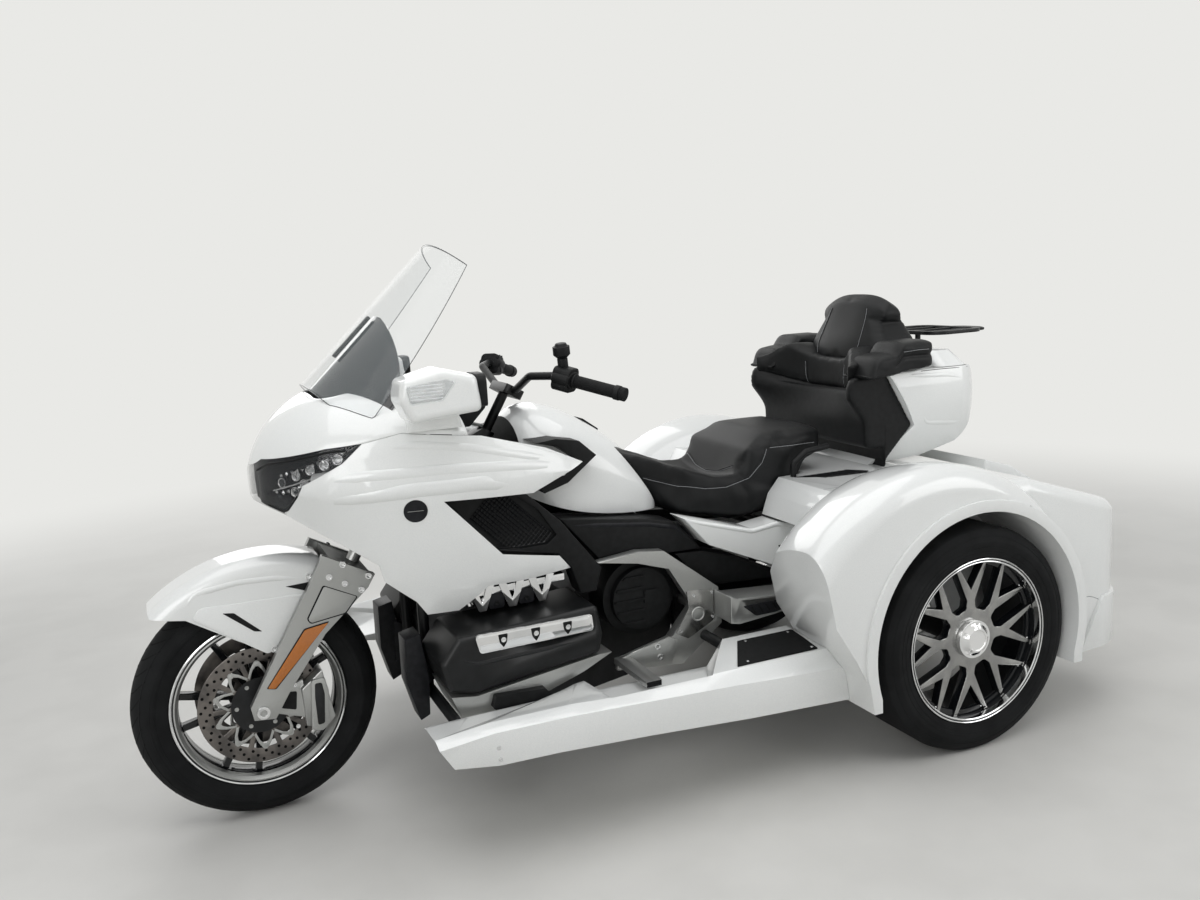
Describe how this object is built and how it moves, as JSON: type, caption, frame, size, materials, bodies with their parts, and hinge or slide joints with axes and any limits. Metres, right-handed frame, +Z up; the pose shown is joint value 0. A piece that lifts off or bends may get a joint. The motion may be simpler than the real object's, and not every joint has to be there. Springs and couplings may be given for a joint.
{
  "type": "touring trike",
  "caption": "Three-wheeled touring motorcycle with full fairing, tall screen, stepped seat, top box and wide rear body over paired rear wheels.",
  "frame": {"origin": "on the ground, at the middle of the bounding box's length and width", "axes": "+X forward along the length, +Y to the rider's left, +Z up"},
  "size_m": [2.8599, 1.46, 1.5039],
  "materials": {
    "white_body": "pearl white gloss lacquer",
    "black_gloss": "gloss black lacquer",
    "black_plastic": "grained black plastic",
    "tyre": "black tyre rubber",
    "grip_rubber": "matt black rubber",
    "silver_cast": "satin silver casting",
    "wheel_metal": "machined face over black",
    "chrome_trim": "bright chrome",
    "disc_steel": "drilled brake disc steel",
    "frame_black": "black painted metal",
    "engine_metal": "dark cast engine",
    "seat_leather": "black grained cover with light stitching",
    "lamp_lens": "smoked clear lens",
    "clear_screen": "clear screen",
    "tinted_screen": "dark tinted panel",
    "red_lens": "red lamp lens"
  },
  "bodies": {
    "chassis": {"frame": "frame_black", "engine_block": "engine_metal", "head_covers": "black_gloss", "head_trims": "chrome_trim", "head_guards": "silver_cast", "intake_runners": "chrome_trim", "drum_covers": "black_plastic", "radiator_cowls": "silver_cast", "side_fairings": "white_body", "headlamps": "lamp_lens", "nose_cowl": "white_body", "inner_fairing": "black_plastic", "side_ducts": "black_plastic", "windscreen": "clear_screen", "screen_garnish": "tinted_screen", "dash": "black_plastic", "mirrors": "white_body", "tank_cover": "white_body", "tank_trims": "black_plastic", "side_panels": "black_plastic", "seat_side_covers": "white_body", "seat": "seat_leather", "backrest": "seat_leather", "arm_rests": "black_plastic", "trunk_body": "white_body", "trunk_front": "black_plastic", "rear_body": "white_body", "tail_lamps": "red_lens", "running_boards": "white_body", "board_pads": "grip_rubber", "frame_plates": "silver_cast", "pillion_boards": "silver_cast", "foot_pegs": "silver_cast", "grab_rails": "black_plastic", "exhaust_tips": "engine_metal", "rear_axle": "frame_black"},
    "steering": {"fork": "silver_cast", "front_fender": "white_body", "front_calipers": "silver_cast"},
    "front_wheel": {"front_tyre": "tyre", "front_rim": "wheel_metal", "front_discs": "disc_steel"},
    "handlebar": {"handlebar": "frame_black", "grips": "grip_rubber", "bar_controls": "black_plastic"},
    "rear_wheel_left": {"rear_tyre_left": "tyre", "rear_rim_left": "wheel_metal"},
    "rear_wheel_right": {"rear_tyre_right": "tyre", "rear_rim_right": "wheel_metal"},
    "trunk_lid": {"trunk_lid": "white_body", "luggage_rack": "frame_black"},
    "rear_lid": {"rear_lid": "white_body"}
  },
  "joints": [
    {"name": "steer", "type": "hinge", "parent": "chassis", "child": "steering", "pos_m": [0.8282, 0, 0.652], "axis": [-0.515, 0, 0.8572], "range_deg": [-34, 34]},
    {"name": "front_spin", "type": "hinge", "parent": "steering", "child": "front_wheel", "pos_m": [1.11, 0, 0.32], "axis": [0, 1, 0], "continuous": true},
    {"name": "bar_turn", "type": "hinge", "parent": "chassis", "child": "handlebar", "pos_m": [0.35, 0, 1.08], "axis": [-0.515, 0, 0.8572], "range_deg": [-34, 34]},
    {"name": "rear_spin_left", "type": "hinge", "parent": "chassis", "child": "rear_wheel_left", "pos_m": [-0.765, 0.588, 0.327], "axis": [0, 1, 0], "continuous": true},
    {"name": "rear_spin_right", "type": "hinge", "parent": "chassis", "child": "rear_wheel_right", "pos_m": [-0.765, -0.588, 0.327], "axis": [0, 1, 0], "continuous": true},
    {"name": "trunk_lid_hinge", "type": "hinge", "parent": "chassis", "child": "trunk_lid", "pos_m": [-0.99, 0, 1.0528], "axis": [0, 1, 0], "range_deg": [0, 45]},
    {"name": "rear_lid_hinge", "type": "hinge", "parent": "chassis", "child": "rear_lid", "pos_m": [-1.135, 0, 0.745], "axis": [0, 1, 0], "range_deg": [0, 60]}
  ],
  "couplings": [
    {"joint": "bar_turn", "follows": "steer", "ratio": 1}
  ]
}
